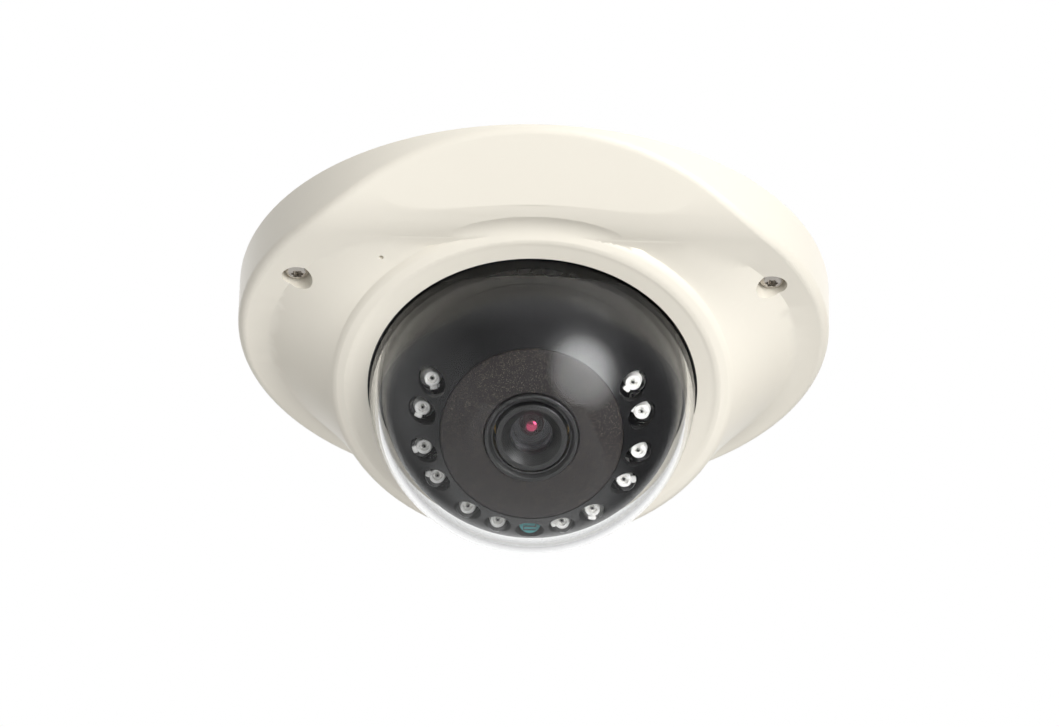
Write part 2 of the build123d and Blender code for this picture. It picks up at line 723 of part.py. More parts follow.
with BuildPart() as front_disc:
    with BuildSketch(ball_profile):
        with BuildLine():
            low = seat_h + 0.02
            Polyline((DISC_R - 0.5, DISC_EDGE_H + 0.1), (DISC_R, DISC_EDGE_H - 0.3), (DISC_R, low))
            Polyline((DISC_R, low), (BEZEL_R + 0.05, low), (BEZEL_R + 0.05, BEZEL_TOP_H - 0.7))
            ThreePointArc(
                (BEZEL_R + 0.05, BEZEL_TOP_H - 0.7),
                (14.4, DISC_EDGE_H + 1.15),
                (DISC_R - 0.5, DISC_EDGE_H + 0.1),
            )
        make_face()
    revolve(axis=axis_of(ball))
save(front_disc.part, "front_disc")

bezel_low = web_h - 1.0
lens_bezel = turned(
    ball,
    [
        (BEZEL_R - 1.7, bezel_low),
        (BEZEL_R, bezel_low),
        (BEZEL_R, BEZEL_TOP_H - 0.3),
        (BEZEL_R - 0.3, BEZEL_TOP_H),
        (BEZEL_R - 0.75, BEZEL_TOP_H),
        (BEZEL_R - 1.4, BEZEL_TOP_H - 0.9),
        (BEZEL_R - 1.7, BEZEL_TOP_H - 0.9),
    ],
)
save(lens_bezel, "lens_bezel")

# ---------------------------------------------------------------- infrared ring
with BuildPart() as led_board:
    with BuildSketch(ball.offset(LED_BOARD_H)):
        Circle(25.6)
        Circle(9.0, mode=Mode.SUBTRACT)
        with PolarLocations(POST_RING_R, 3, start_angle=90):
            Circle(SMALL_SCREW_R + CLEAR, mode=Mode.SUBTRACT)
        with GridLocations(BOARD_HOLES_X, BOARD_HOLES_Y, 2, 2):
            Circle(SMALL_SCREW_R + CLEAR, mode=Mode.SUBTRACT)
    extrude(amount=BOARD_T)
save(led_board.part, "led_board")

led_foot = LED_BOARD_H + BOARD_T
leds = []
for angle in LED_ANGLES:
    for side in (-1, 1):
        x, y = polar(LED_RING_R, side * angle - 90)
        stand = Plane(origin=ball.from_local_coords((x, y, 0)), x_dir=ball.x_dir, z_dir=ball.z_dir)
        with BuildPart() as led:
            with BuildSketch(profile_plane(stand)):
                with BuildLine():
                    Polyline((0, LED_TIP_H), (0, led_foot), (LED_R + 0.4, led_foot))
                    Polyline((LED_R + 0.4, led_foot), (LED_R + 0.4, led_foot + 1), (LED_R, led_foot + 1))
                    Line((LED_R, led_foot + 1), (LED_R, LED_TIP_H - LED_R))
                    ThreePointArc(
                        (LED_R, LED_TIP_H - LED_R),
                        (LED_R * sin(radians(45)), LED_TIP_H - LED_R + LED_R * cos(radians(45))),
                        (0, LED_TIP_H),
                    )
                make_face()
            revolve(axis=axis_of(stand))
        leds.append(led.part)
save(group(leds), "infrared_leds")

with BuildPart() as photocell:
    with BuildSketch(ball.offset(CELL_TOP_H - 1.8)):
        with Locations((0, -CELL_RING_R)):
            Circle(2.35)
    extrude(amount=1.8)
    with BuildSketch(ball.offset(led_foot)):
        with Locations((0, -CELL_RING_R)):
            with GridLocations(2.6, 1, 2, 1):
                Circle(0.3)
    extrude(amount=CELL_TOP_H - 1.8 - led_foot)
save(photocell.part, "photocell")

board_back = facing_up(ball.offset(LED_BOARD_H))
led_screws = []
for angle in (90, 210, 330):
    x, y = polar(POST_RING_R, angle)
    spot = ball.from_local_coords((x, y, LED_BOARD_H))
    seat = Plane(origin=spot, x_dir=board_back.x_dir, z_dir=board_back.z_dir)
    led_screws.append(button_screw(seat, 1.9, 1.1, SMALL_SCREW_R, 7.0, 0.8))
save(group(led_screws), "led_board_screws")

# ---------------------------------------------------------------- lens
lens_barrel = turned(
    ball,
    [
        (3.6, 11.0),
        (LENS_THREAD_R, 11.0),
        (LENS_THREAD_R, 21.6),
        (LENS_HEAD_R, 21.6),
        (LENS_HEAD_R, LENS_TOP_H - 0.3),
        (LENS_HEAD_R - 0.3, LENS_TOP_H),
        (6.1, LENS_TOP_H),
        (4.35, LENS_TOP_H - 2.1),
        (4.35, 23.4),
        (3.6, 23.4),
    ],
)
save(lens_barrel, "lens_barrel")

with BuildPart() as lens_front_glass:
    with BuildSketch(ball_profile):
        with BuildLine():
            edge = degrees(asin(GLASS_R / GLASS_CURVE_R))
            drop = GLASS_TOP_H - GLASS_CURVE_R
            crown = [(x, drop + y) for x, y in (on_arc(GLASS_CURVE_R, a) for a in (edge, edge / 2, 0))]
            Polyline(crown[2], (0, 23.42), (GLASS_R, 23.42), crown[0])
            ThreePointArc(*crown)
        make_face()
    revolve(axis=axis_of(ball))
save(lens_front_glass.part, "lens_front_glass")
save(disc(ball, 3.55, 12.0, 13.4), "lens_rear_glass")

with BuildPart() as lens_lock_ring:
    with BuildSketch(ball.offset(18.2)):
        Circle(7.9)
        Circle(LENS_THREAD_R + CLEAR, mode=Mode.SUBTRACT)
        with PolarLocations(8.2, 6):
            Circle(0.9, mode=Mode.SUBTRACT)
    extrude(amount=2.0)
save(lens_lock_ring.part, "lens_lock_ring")

with BuildPart() as lens_holder:
    with BuildSketch(ball.offset(SENSOR_BOARD_H + BOARD_T)):
        RectangleRounded(25, 15, 2)
    extrude(amount=1.6)
    with BuildSketch(ball.offset(SENSOR_BOARD_H + BOARD_T)):
        Circle(7.6)
    extrude(amount=17.9 - SENSOR_BOARD_H - BOARD_T)
    with BuildSketch(ball.offset(SENSOR_BOARD_H + BOARD_T)):
        Rectangle(10, 9)
    extrude(amount=1.2, mode=Mode.SUBTRACT)
    with BuildSketch(ball.offset(SENSOR_BOARD_H + BOARD_T)):
        Circle(4.4)
        with Locations((-10.2, 0), (10.2, 0)):
            Circle(SMALL_SCREW_R + CLEAR)
    extrude(amount=20, mode=Mode.SUBTRACT)
    with BuildSketch(ball.offset(FILTER_H)):
        Circle(LENS_THREAD_R + CLEAR)
    extrude(amount=20, mode=Mode.SUBTRACT)
save(lens_holder.part, "lens_holder")

with BuildPart() as infrared_filter:
    with BuildSketch(ball.offset(FILTER_H)):
        RectangleRounded(8.2, 8.2, 0.2)
    extrude(amount=0.5)
save(infrared_filter.part, "infrared_filter")

# ---------------------------------------------------------------- boards behind the lens
def ball_board(height):
    with BuildPart() as board:
        with BuildSketch(ball.offset(height)):
            RectangleRounded(38, 32, 1.5)
            with GridLocations(BOARD_HOLES_X, BOARD_HOLES_Y, 2, 2):
                Circle(SMALL_SCREW_R + CLEAR, mode=Mode.SUBTRACT)
            if height == SENSOR_BOARD_H:
                with Locations((-10.2, 0), (10.2, 0)):
                    Circle(SMALL_SCREW_R + CLEAR, mode=Mode.SUBTRACT)
        extrude(amount=BOARD_T)
    return board.part


def ball_block(height, center, size, thickness):
    """Flat package on a board inside the ball; a negative thickness hangs it off the back."""
    with BuildPart() as body:
        with BuildSketch(ball.offset(height)):
            with Locations(center):
                RectangleRounded(*size, 0.3)
        extrude(amount=thickness)
    return body.part


save(ball_board(SENSOR_BOARD_H), "sensor_board")
save(ball_board(MAIN_BOARD_H), "main_board")
save(ball_block(SENSOR_BOARD_H + BOARD_T, (0, 0), (9.4, 8.4), 1.0), "image_sensor")
save(ball_block(MAIN_BOARD_H + BOARD_T, (-4, 0), (14, 14), 1.4), "video_processor")
memory_chips = [
    ball_block(MAIN_BOARD_H + BOARD_T, (9.5, 6), (9, 8), 1.0),
    ball_block(MAIN_BOARD_H + BOARD_T, (9.5, -6), (9, 8), 1.0),
]
save(group(memory_chips), "memory_chips")
board_sockets = [
    ball_block(MAIN_BOARD_H, (-8, 8), (9, 4), -3.6),
    ball_block(MAIN_BOARD_H, (8, 8), (9, 4), -3.6),
]
save(group(board_sockets), "main_board_sockets")

holder_screws = []
for x in (-10.2, 10.2):
    spot = ball.from_local_coords((x, 0, SENSOR_BOARD_H))
    seat = Plane(origin=spot, x_dir=board_back.x_dir, z_dir=board_back.z_dir)
    holder_screws.append(button_screw(seat, 1.9, 1.1, SMALL_SCREW_R, 2.6, 0.8))
save(group(holder_screws), "lens_holder_screws")

long_screws = []
front_standoffs = []
rear_standoffs = []
for x in (-BOARD_HOLES_X / 2, BOARD_HOLES_X / 2):
    for y in (-BOARD_HOLES_Y / 2, BOARD_HOLES_Y / 2):
        spot = ball.from_local_coords((x, y, 0))
        post = Plane(origin=spot, x_dir=ball.x_dir, z_dir=ball.z_dir)
        bore = SMALL_SCREW_R + CLEAR
        front_standoffs.append(disc(post, 1.9, SENSOR_BOARD_H + BOARD_T, LED_BOARD_H, bore))
        rear_standoffs.append(disc(post, 1.9, MAIN_BOARD_H + BOARD_T, SENSOR_BOARD_H, bore))
        spot = ball.from_local_coords((x, y, MAIN_BOARD_H))
        seat = Plane(origin=spot, x_dir=board_back.x_dir, z_dir=board_back.z_dir)
        long_screws.append(button_screw(seat, 1.9, 1.1, SMALL_SCREW_R, 13.7, 0.8))
save(group(front_standoffs), "front_standoffs")
save(group(rear_standoffs), "rear_standoffs")
save(group(long_screws), "board_screws")
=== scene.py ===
import json
from math import cos, pi, radians, sin

import bmesh
import bpy
from mathutils import Matrix, Vector
from mathutils.kdtree import KDTree


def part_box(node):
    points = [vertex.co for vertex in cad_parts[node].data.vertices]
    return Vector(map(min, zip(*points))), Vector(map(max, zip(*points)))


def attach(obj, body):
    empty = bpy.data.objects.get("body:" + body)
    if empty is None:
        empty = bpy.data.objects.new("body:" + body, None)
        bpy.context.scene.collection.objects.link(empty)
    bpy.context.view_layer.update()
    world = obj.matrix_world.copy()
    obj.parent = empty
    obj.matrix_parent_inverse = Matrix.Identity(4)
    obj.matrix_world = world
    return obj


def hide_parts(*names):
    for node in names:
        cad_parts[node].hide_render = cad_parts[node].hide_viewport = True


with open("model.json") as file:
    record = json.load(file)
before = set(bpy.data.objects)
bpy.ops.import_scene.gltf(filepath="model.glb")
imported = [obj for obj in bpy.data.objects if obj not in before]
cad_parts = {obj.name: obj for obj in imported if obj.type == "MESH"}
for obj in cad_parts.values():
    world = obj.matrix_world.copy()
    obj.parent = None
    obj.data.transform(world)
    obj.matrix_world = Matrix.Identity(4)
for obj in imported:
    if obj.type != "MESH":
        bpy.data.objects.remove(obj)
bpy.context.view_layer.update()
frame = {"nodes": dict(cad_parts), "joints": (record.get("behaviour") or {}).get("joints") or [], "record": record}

bl_info = {
    "name": "Ceiling Dome Camera",
    "version": (1, 0, 0),
    "blender": (4, 5, 0),
    "location": "3D View > Sidebar > Dome Camera",
    "description": "Builds the looks of a ceiling dome camera round its packed frame",
    "category": "Object",
}

# Places that come from the frame.  Lengths are metres, +Z is up into the ceiling.
MM = 0.001
JOINTS = {joint["name"]: joint for joint in frame["joints"]}
PIVOT = Vector(JOINTS["ball_tilt"]["pos_m"])
LENS_AXIS = Vector(JOINTS["lens_focus"]["axis"])
FINISH_OF_NODE = {part["node"]: part["material_slot"] for part in frame["record"]["subparts"]}
BODY_OF_NODE = {
    node: body for body, nodes in frame["record"]["behaviour"]["bodies"].items() for node in nodes
}

FINISH_ENDING = "_finish"

# Edges that turn by more than this are sharp; round the screw pockets a much slighter turn is.
SMOOTH_ANGLE = radians(19)
POCKET_ANGLE = radians(5)
POCKET_REACH = 7 * MM

# Facets of a turned piece, by its size and how closely it is seen.
FULL_ROUND = 160
ROUND_STEPS = 128
GLASS_ROUND = 96
CELL_ROUND = 64
LED_ROUND = 40
CUP_ROUND = 32
WIRE_ROUND = 24
LEAD_ROUND = 16

MERGE_DISTANCE = 1e-7
CAD_MERGE_DISTANCE = 2e-6


def leaning_frame(axis):
    """Matrix whose local Z runs along an axis through the pivot, with local X kept level."""
    z = Vector(axis).normalized()
    x = Vector((1, 0, 0))
    y = z.cross(x)
    return Matrix.Translation(PIVOT) @ Matrix((x, y, z)).transposed().to_4x4()


def half_width(node):
    """Half of a node's extent along X, which is the radius of a turned piece."""
    low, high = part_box(node)
    return (high.x - low.x) / 2


BALL_FRAME = leaning_frame(LENS_AXIS)


# ---------------------------------------------------------------- settings
class DomeHousingSettings(bpy.types.PropertyGroup):
    """Paint of the housing cover."""

    paint: bpy.props.FloatVectorProperty(
        name="Paint", description="Colour of the cover", subtype="COLOR",
        size=3, min=0, max=1, default=(0.86, 0.815, 0.715),
    )
    roughness: bpy.props.FloatProperty(
        name="Roughness", description="Roughness of the paint", default=0.42, min=0, max=1,
    )


class DomeBubbleSettings(bpy.types.PropertyGroup):
    """Clear bubble and its seat."""

    lean: bpy.props.FloatProperty(
        name="Lean", description="Lean of the bubble from straight down",
        subtype="ANGLE", default=radians(19),
    )
    radius: bpy.props.FloatProperty(
        name="Radius", description="Outside radius", unit="LENGTH", default=34.3 * MM,
    )
    wall: bpy.props.FloatProperty(
        name="Wall", description="Wall thickness", unit="LENGTH", default=1.6 * MM,
    )
    center: bpy.props.FloatProperty(
        name="Centre", description="Centre of the sphere beyond the pivot", unit="LENGTH",
        default=1.8 * MM,
    )
    flange: bpy.props.FloatProperty(
        name="Flange thickness", description="Thickness of the foot flange", unit="LENGTH",
        default=1.7 * MM,
    )
    seat: bpy.props.FloatProperty(
        name="Seat", description="Back of the flange, beyond the pivot", unit="LENGTH",
        default=-3.6 * MM,
    )


class DomeBallSettings(bpy.types.PropertyGroup):
    """Camera ball with its speckled disc."""

    disc_radius: bpy.props.FloatProperty(
        name="Disc radius", description="Speckled disc", unit="LENGTH",
        default=half_width("front_disc"),
    )
    disc_height: bpy.props.FloatProperty(
        name="Disc edge height", description="Disc edge above the pivot along the lens axis",
        unit="LENGTH", default=25.9 * MM,
    )
    colour: bpy.props.FloatVectorProperty(
        name="Shell colour", description="Colour of the front shell", subtype="COLOR",
        size=3, min=0, max=1, default=(0.007, 0.007, 0.0075),
    )


class DomeInfraredSettings(bpy.types.PropertyGroup):
    """Horseshoe of infrared LEDs and the photocell that closes it."""

    ring_radius: bpy.props.FloatProperty(
        name="Ring radius", description="Pitch radius of the LEDs", unit="LENGTH",
        default=22.7 * MM,
    )
    angles: bpy.props.FloatVectorProperty(
        name="Angles", description="Places of the LEDs on each side, from the photocell",
        subtype="NONE", size=6, default=(17.0, 34.5, 58.0, 76.0, 98.0, 115.0),
    )
    led_radius: bpy.props.FloatProperty(
        name="LED radius", description="Body radius", unit="LENGTH", default=2.5 * MM,
    )
    tip_height: bpy.props.FloatProperty(
        name="Tip height", description="Tip above the pivot along the lens axis", unit="LENGTH",
        default=22.3 * MM,
    )
    foot_height: bpy.props.FloatProperty(
        name="Foot height", description="Face of the board that carries the LEDs", unit="LENGTH",
        default=12.7 * MM,
    )
    cell_radius: bpy.props.FloatProperty(
        name="Photocell radius", description="Ceramic of the photocell", unit="LENGTH",
        default=half_width("photocell"),
    )
    cell_ring_radius: bpy.props.FloatProperty(
        name="Photocell offset", description="Distance from the lens axis", unit="LENGTH",
        default=22.9 * MM,
    )
    cell_height: bpy.props.FloatProperty(
        name="Photocell height", description="Face above the pivot along the lens axis",
        unit="LENGTH", default=19.0 * MM,
    )


class DomeLensSettings(bpy.types.PropertyGroup):
    """Lens and the ring round it."""

    bezel_radius: bpy.props.FloatProperty(
        name="Bezel radius", description="Outside of the ring", unit="LENGTH",
        default=half_width("lens_bezel"),
    )
    bezel_height: bpy.props.FloatProperty(
        name="Bezel height", description="Top of the ring along the lens axis", unit="LENGTH",
        default=28.3 * MM,
    )
    head_radius: bpy.props.FloatProperty(
        name="Head radius", description="Head of the barrel", unit="LENGTH",
        default=half_width("lens_barrel"),
    )
    top_height: bpy.props.FloatProperty(
        name="Barrel height", description="Top of the barrel along the lens axis", unit="LENGTH",
        default=28.1 * MM,
    )
    coating: bpy.props.FloatVectorProperty(
        name="Coating", description="Tint that the coated inner element mirrors",
        subtype="COLOR", size=3, min=0, max=1, default=(0.6, 0.07, 0.15),
    )


class DomeStageSettings(bpy.types.PropertyGroup):
    """Camera, floor and lights."""

    distance: bpy.props.FloatProperty(
        name="Distance", description="Camera distance", unit="LENGTH", default=1.4,
    )
    upward: bpy.props.FloatProperty(
        name="Upward angle", description="How steeply the camera looks up", subtype="ANGLE",
        default=radians(33),
    )
    roll: bpy.props.FloatProperty(
        name="Roll", description="Camera roll", subtype="ANGLE", default=radians(1.123),
    )
    aim: bpy.props.FloatVectorProperty(
        name="Aim", description="Point that the camera looks at", subtype="TRANSLATION",
        unit="LENGTH", size=3, default=(-0.000707, 0.0, -0.01777),
    )
    focal: bpy.props.FloatProperty(
        name="Focal length", description="Lens in millimetres on a 36 mm sensor", default=225.6,
    )
    key: bpy.props.FloatProperty(
        name="Key light", description="Brightness of the large soft light", default=8.0, min=0,
    )
    surround: bpy.props.FloatProperty(
        name="Surround", description="Brightness of the white studio", default=1.0, min=0,
    )


def settings(name):
    """Settings of one group, by the name it is registered under."""
    return getattr(bpy.context.scene, name)


# ---------------------------------------------------------------- shared shader effects
FLECK_REACH = 0.42  # how far a fleck reaches into its cell
CLOUD_RANGE = (0.3, 0.7)  # where the noise behind the slow clouds has most of its values


def new_group(name, inputs, outputs):
    """Empty node group with float and vector inputs; returns it with its two end nodes."""
    group = bpy.data.node_groups.new(name, "ShaderNodeTree")
    for socket, kind, value in inputs:
        made = group.interface.new_socket(name=socket, in_out="INPUT", socket_type=kind)
        if value is not None:
            made.default_value = value
    for socket, kind in outputs:
        group.interface.new_socket(name=socket, in_out="OUTPUT", socket_type=kind)
    return group, group.nodes.new("NodeGroupInput"), group.nodes.new("NodeGroupOutput")


def value_map(tree, low, high, to_low, to_high):
    """Map Range node from one range of values to another."""
    node = tree.nodes.new("ShaderNodeMapRange")
    limits = {"From Min": low, "From Max": high, "To Min": to_low, "To Max": to_high}
    for socket, value in limits.items():
        node.inputs[socket].default_value = value
    return node


def grain_group():
    """Fine surface grain as a height, and slow cloudy variation as a mask."""
    name = "fine_grain"
    if name in bpy.data.node_groups:
        return bpy.data.node_groups[name]
    group, start, end = new_group(
        name,
        [
            ("Vector", "NodeSocketVector", None),
            ("Grain Scale", "NodeSocketFloat", 2500.0),
            ("Cloud Scale", "NodeSocketFloat", 25.0),
        ],
        [("Height", "NodeSocketFloat"), ("Cloud", "NodeSocketFloat")],
    )
    for scale, detail, output in (("Grain Scale", 3.0, "Height"), ("Cloud Scale", 4.0, "Cloud")):
        noise = group.nodes.new("ShaderNodeTexNoise")
        noise.inputs["Detail"].default_value = detail
        group.links.new(start.outputs["Vector"], noise.inputs["Vector"])
        group.links.new(start.outputs[scale], noise.inputs["Scale"])
        group.links.new(noise.outputs["Fac"], end.inputs[output])
    return group


def fleck_group():
    """Scattered flecks: a mask that is 1 on a share of small cells, and the cells' brightness."""
    name = "mica_flecks"
    if name in bpy.data.node_groups:
        return bpy.data.node_groups[name]
    group, start, end = new_group(
        name,
        [
            ("Vector", "NodeSocketVector", None),
            ("Scale", "NodeSocketFloat", 4200.0),
            ("Share", "NodeSocketFloat", 0.06),
        ],
        [("Mask", "NodeSocketFloat"), ("Shade", "NodeSocketFloat")],
    )
    cells = group.nodes.new("ShaderNodeTexVoronoi")
    group.links.new(start.outputs["Vector"], cells.inputs["Vector"])
    group.links.new(start.outputs["Scale"], cells.inputs["Scale"])
    split = group.nodes.new("ShaderNodeSeparateColor")
    group.links.new(cells.outputs["Color"], split.inputs["Color"])
    chosen = group.nodes.new("ShaderNodeMath")
    chosen.operation = "LESS_THAN"
    group.links.new(split.outputs["Red"], chosen.inputs[0])
    group.links.new(start.outputs["Share"], chosen.inputs[1])
    middle = group.nodes.new("ShaderNodeMath")
    middle.operation = "LESS_THAN"
    middle.inputs[1].default_value = FLECK_REACH
    group.links.new(cells.outputs["Distance"], middle.inputs[0])
    both = group.nodes.new("ShaderNodeMath")
    both.operation = "MULTIPLY"
    group.links.new(chosen.outputs[0], both.inputs[0])
    group.links.new(middle.outputs[0], both.inputs[1])
    group.links.new(both.outputs[0], end.inputs["Mask"])
    group.links.new(split.outputs["Green"], end.inputs["Shade"])
    return group


# ---------------------------------------------------------------- finishes
# A Mix node has several sockets of one name, so its colour sockets go by number.
MIX_COLOUR_A, MIX_COLOUR_B, MIX_COLOUR_RESULT = 6, 7, 2


class Finish:
    """One material: its Principled shader with the object's own coordinates at hand."""

    def __init__(self, name, colour, roughness, metallic=0.0, **sockets):
        self.material = bpy.data.materials.new(name + FINISH_ENDING)
        self.material.use_nodes = True
        self.tree = self.material.node_tree
        self.shader = self.tree.nodes["Principled BSDF"]
        self.colour = colour
        self.roughness = roughness
        self.set("Base Color", (*colour, 1))
        self.set("Roughness", roughness)
        self.set("Metallic", metallic)
        for socket, value in sockets.items():
            self.set(socket.replace("_", " "), value)
        self.place = self.tree.nodes.new("ShaderNodeTexCoord")

    def set(self, socket, value):
        """Fixed value of one of the shader's sockets."""
        self.shader.inputs[socket].default_value = value

    def group(self, tree, **values):
        """Group node on the object's coordinates; _ stands for a space in a socket's name."""
        node = self.tree.nodes.new("ShaderNodeGroup")
        node.node_tree = tree
        self.tree.links.new(self.place.outputs["Object"], node.inputs["Vector"])
        for socket, value in values.items():
            node.inputs[socket.replace("_", " ")].default_value = value
        return node

    def grain(self, scale=2500.0, bump=0.1, depth=0.00002, cloud=25.0, tone=0.04, polish=0.05):
        """Fine bump with slow changes of tone and roughness."""
        node = self.group(grain_group(), Grain_Scale=scale, Cloud_Scale=cloud)
        height = self.tree.nodes.new("ShaderNodeBump")
        height.inputs["Strength"].default_value = bump
        height.inputs["Distance"].default_value = depth
        self.tree.links.new(node.outputs["Height"], height.inputs["Height"])
        self.tree.links.new(height.outputs["Normal"], self.shader.inputs["Normal"])
        rough = value_map(
            self.tree, *CLOUD_RANGE,
            max(self.roughness - polish, 0), min(self.roughness + polish, 1),
        )
        self.tree.links.new(node.outputs["Cloud"], rough.inputs["Value"])
        self.tree.links.new(rough.outputs["Result"], self.shader.inputs["Roughness"])
        self.tinted = self.mix(
            node.outputs["Cloud"],
            [c * (1 - tone) for c in self.colour],
            [min(c * (1 + tone), 1) for c in self.colour],
        )
        self.tree.links.new(self.tinted, self.shader.inputs["Base Color"])
        return self

    def mix(self, factor, first, second):
        """Colour between two colours or sockets, by a factor socket."""
        node = self.tree.nodes.new("ShaderNodeMix")
        node.data_type = "RGBA"
        self.tree.links.new(factor, node.inputs["Factor"])
        for socket, value in ((MIX_COLOUR_A, first), (MIX_COLOUR_B, second)):
            if isinstance(value, bpy.types.NodeSocket):
                self.tree.links.new(value, node.inputs[socket])
            else:
                node.inputs[socket].default_value = (*value, 1)
        return node.outputs[MIX_COLOUR_RESULT]

    def lets_lamps_through(self):
        """Rays from lamps pass straight, so that clear pieces don't shade what they cover."""
        output = self.tree.nodes["Material Output"]
        clear = self.tree.nodes.new("ShaderNodeBsdfTransparent")
        path = self.tree.nodes.new("ShaderNodeLightPath")
        choice = self.tree.nodes.new("ShaderNodeMixShader")
        self.tree.links.new(path.outputs["Is Shadow Ray"], choice.inputs["Fac"])
        self.tree.links.new(self.shader.outputs["BSDF"], choice.inputs[1])
        self.tree.links.new(clear.outputs["BSDF"], choice.inputs[2])
        self.tree.links.new(choice.outputs["Shader"], output.inputs["Surface"])
        return self


def glass(name, colour, ior, roughness=0.0, **sockets):
    finish = Finish(name, colour, roughness, Transmission_Weight=1.0, IOR=ior, **sockets)
    return finish.lets_lamps_through()


def ivory_paint():
    housing = settings("dome_housing")
    finish = Finish(
        "ivory_paint", housing.paint, housing.roughness, Coat_Weight=0.12, Coat_Roughness=0.3
    )
    return finish.grain(scale=1500, bump=0.06, depth=0.00003, cloud=18, tone=0.012, polish=0.04)


def clear_bubble():
    return glass("clear_bubble", (0.985, 0.99, 0.99), 1.22)


def ball_black():
    ball = settings("dome_ball")
    finish = Finish("ball_black", ball.colour, 0.25, Specular_IOR_Level=0.5)
    return finish.grain(scale=3500, bump=0.0, cloud=40, tone=0.1, polish=0.015)


def speckled_disc():
    finish = Finish("speckled_disc", (0.013, 0.011, 0.0115), 0.34, Specular_IOR_Level=0.4)
    finish.grain(scale=4500, bump=0.2, depth=0.00003, cloud=60, tone=0.12, polish=0.06)
    fleck = finish.group(fleck_group(), Scale=5200.0, Share=0.32)
    shade = finish.mix(fleck.outputs["Shade"], (0.03, 0.026, 0.021), (0.15, 0.125, 0.1))
    finish.tree.links.new(
        finish.mix(fleck.outputs["Mask"], finish.tinted, shade), finish.shader.inputs["Base Color"]
    )
    return finish


def lens_black():
    finish = Finish("lens_black", (0.009, 0.009, 0.009), 0.34, Specular_IOR_Level=0.6)
    return finish.grain(scale=5000, bump=0.08, depth=0.00002, cloud=80, tone=0.1, polish=0.04)


def lens_glass():
    return glass("lens_glass", (0.96, 0.95, 0.99), 1.34)


def lens_coating():
    finish = Finish("lens_coating", settings("dome_lens").coating, 0.12, metallic=1.0)
    return finish.grain(scale=900, bump=0.0, cloud=300, tone=0.05, polish=0.01)


def led_clear():
    return glass("led_clear", (0.98, 0.985, 0.99), 1.5)


def led_silver():
    finish = Finish("led_silver", (0.97, 0.95, 0.92), 0.34, metallic=0.12)
    return finish.grain(scale=2500, bump=0.1, depth=0.00002, cloud=400, tone=0.05, polish=0.06)


def photocell_face():
    finish = Finish("photocell_face", (0.015, 0.24, 0.25), 0.3, Coat_Weight=0.6, Coat_Roughness=0.08)
    return finish.grain(scale=4000, bump=0.15, cloud=700, tone=0.35, polish=0.08)


def photocell_track():
    finish = Finish(
        "photocell_track", (0.03, 0.045, 0.05), 0.35, Coat_Weight=0.6, Coat_Roughness=0.08
    )
    return finish.grain(scale=4000, bump=0.1, cloud=400, tone=0.1, polish=0.05)


def black_rubber():
    finish = Finish("black_rubber", (0.011, 0.011, 0.011), 0.62)
    return finish.grain(scale=2600, bump=0.25, depth=0.00004, cloud=60, tone=0.2, polish=0.1)


def black_plastic():
    finish = Finish("black_plastic", (0.017, 0.017, 0.018), 0.5)
    return finish.grain(scale=2200, bump=0.25, depth=0.00004, cloud=50, tone=0.12, polish=0.08)


def cast_aluminium():
    finish = Finish("cast_aluminium", (0.60, 0.61, 0.62), 0.46, metallic=1.0)
    return finish.grain(scale=1400, bump=0.4, depth=0.00008, cloud=35, tone=0.08, polish=0.12)


def aluminium_can():
    finish = Finish("aluminium_can", (0.75, 0.76, 0.77), 0.28, metallic=1.0)
    return finish.grain(scale=1800, bump=0.15, cloud=150, tone=0.05, polish=0.08)


def stainless():
    finish = Finish("stainless", (0.50, 0.47, 0.43), 0.24, metallic=1.0)
    return finish.grain(scale=3200, bump=0.12, cloud=400, tone=0.12, polish=0.08)


def zinc_steel():
    finish = Finish("zinc_steel", (0.62, 0.63, 0.66), 0.3, metallic=1.0)
    return finish.grain(scale=1600, bump=0.2, cloud=200, tone=0.12, polish=0.12)


def brass_posts():
    finish = Finish("brass_posts", (0.72, 0.52, 0.22), 0.26, metallic=1.0)
    return finish.grain(scale=2200, bump=0.15, cloud=200, tone=0.1, polish=0.08)


def board_green():
    finish = Finish("board_green", (0.01, 0.11, 0.045), 0.3, Coat_Weight=0.3, Coat_Roughness=0.2)
    return finish.grain(scale=2800, bump=0.25, cloud=500, tone=0.3, polish=0.08)


def board_black():
    finish = Finish("board_black", (0.012, 0.013, 0.014), 0.35, Coat_Weight=0.3, Coat_Roughness=0.2)
    return finish.grain(scale=2800, bump=0.25, cloud=500, tone=0.3, polish=0.08)


def chip_black():
    finish = Finish("chip_black", (0.02, 0.02, 0.022), 0.55)
    return finish.grain(scale=4500, bump=0.35, cloud=200, tone=0.1, polish=0.06)


def socket_white():
    finish = Finish("socket_white", (0.72, 0.69, 0.60), 0.42)
    return finish.grain(scale=2500, bump=0.1, cloud=150, tone=0.03, polish=0.05)


def sensor_glass():
    finish = Finish("sensor_glass", (0.03, 0.07, 0.09), 0.08, Coat_Weight=1.0, Coat_Roughness=0.02)
    return finish.grain(scale=9000, bump=0.05, cloud=600, tone=0.4, polish=0.02)


def filter_glass():
    return glass("filter_glass", (0.55, 0.85, 0.92), 1.52)


MAKERS = {
    maker.__name__: maker
    for maker in (
        ivory_paint, clear_bubble, ball_black, speckled_disc, lens_black, lens_glass, lens_coating,
        led_clear, led_silver, photocell_face, photocell_track, black_rubber, black_plastic,
        cast_aluminium, aluminium_can, stainless, zinc_steel, brass_posts, board_green, board_black,
        chip_black, socket_white, sensor_glass, filter_glass,
    )
}


def finish_named(name):
    """The finish of that name, made the first time it is asked for."""
    if name + FINISH_ENDING not in bpy.data.materials:
        MAKERS[name]()
    return bpy.data.materials[name + FINISH_ENDING]


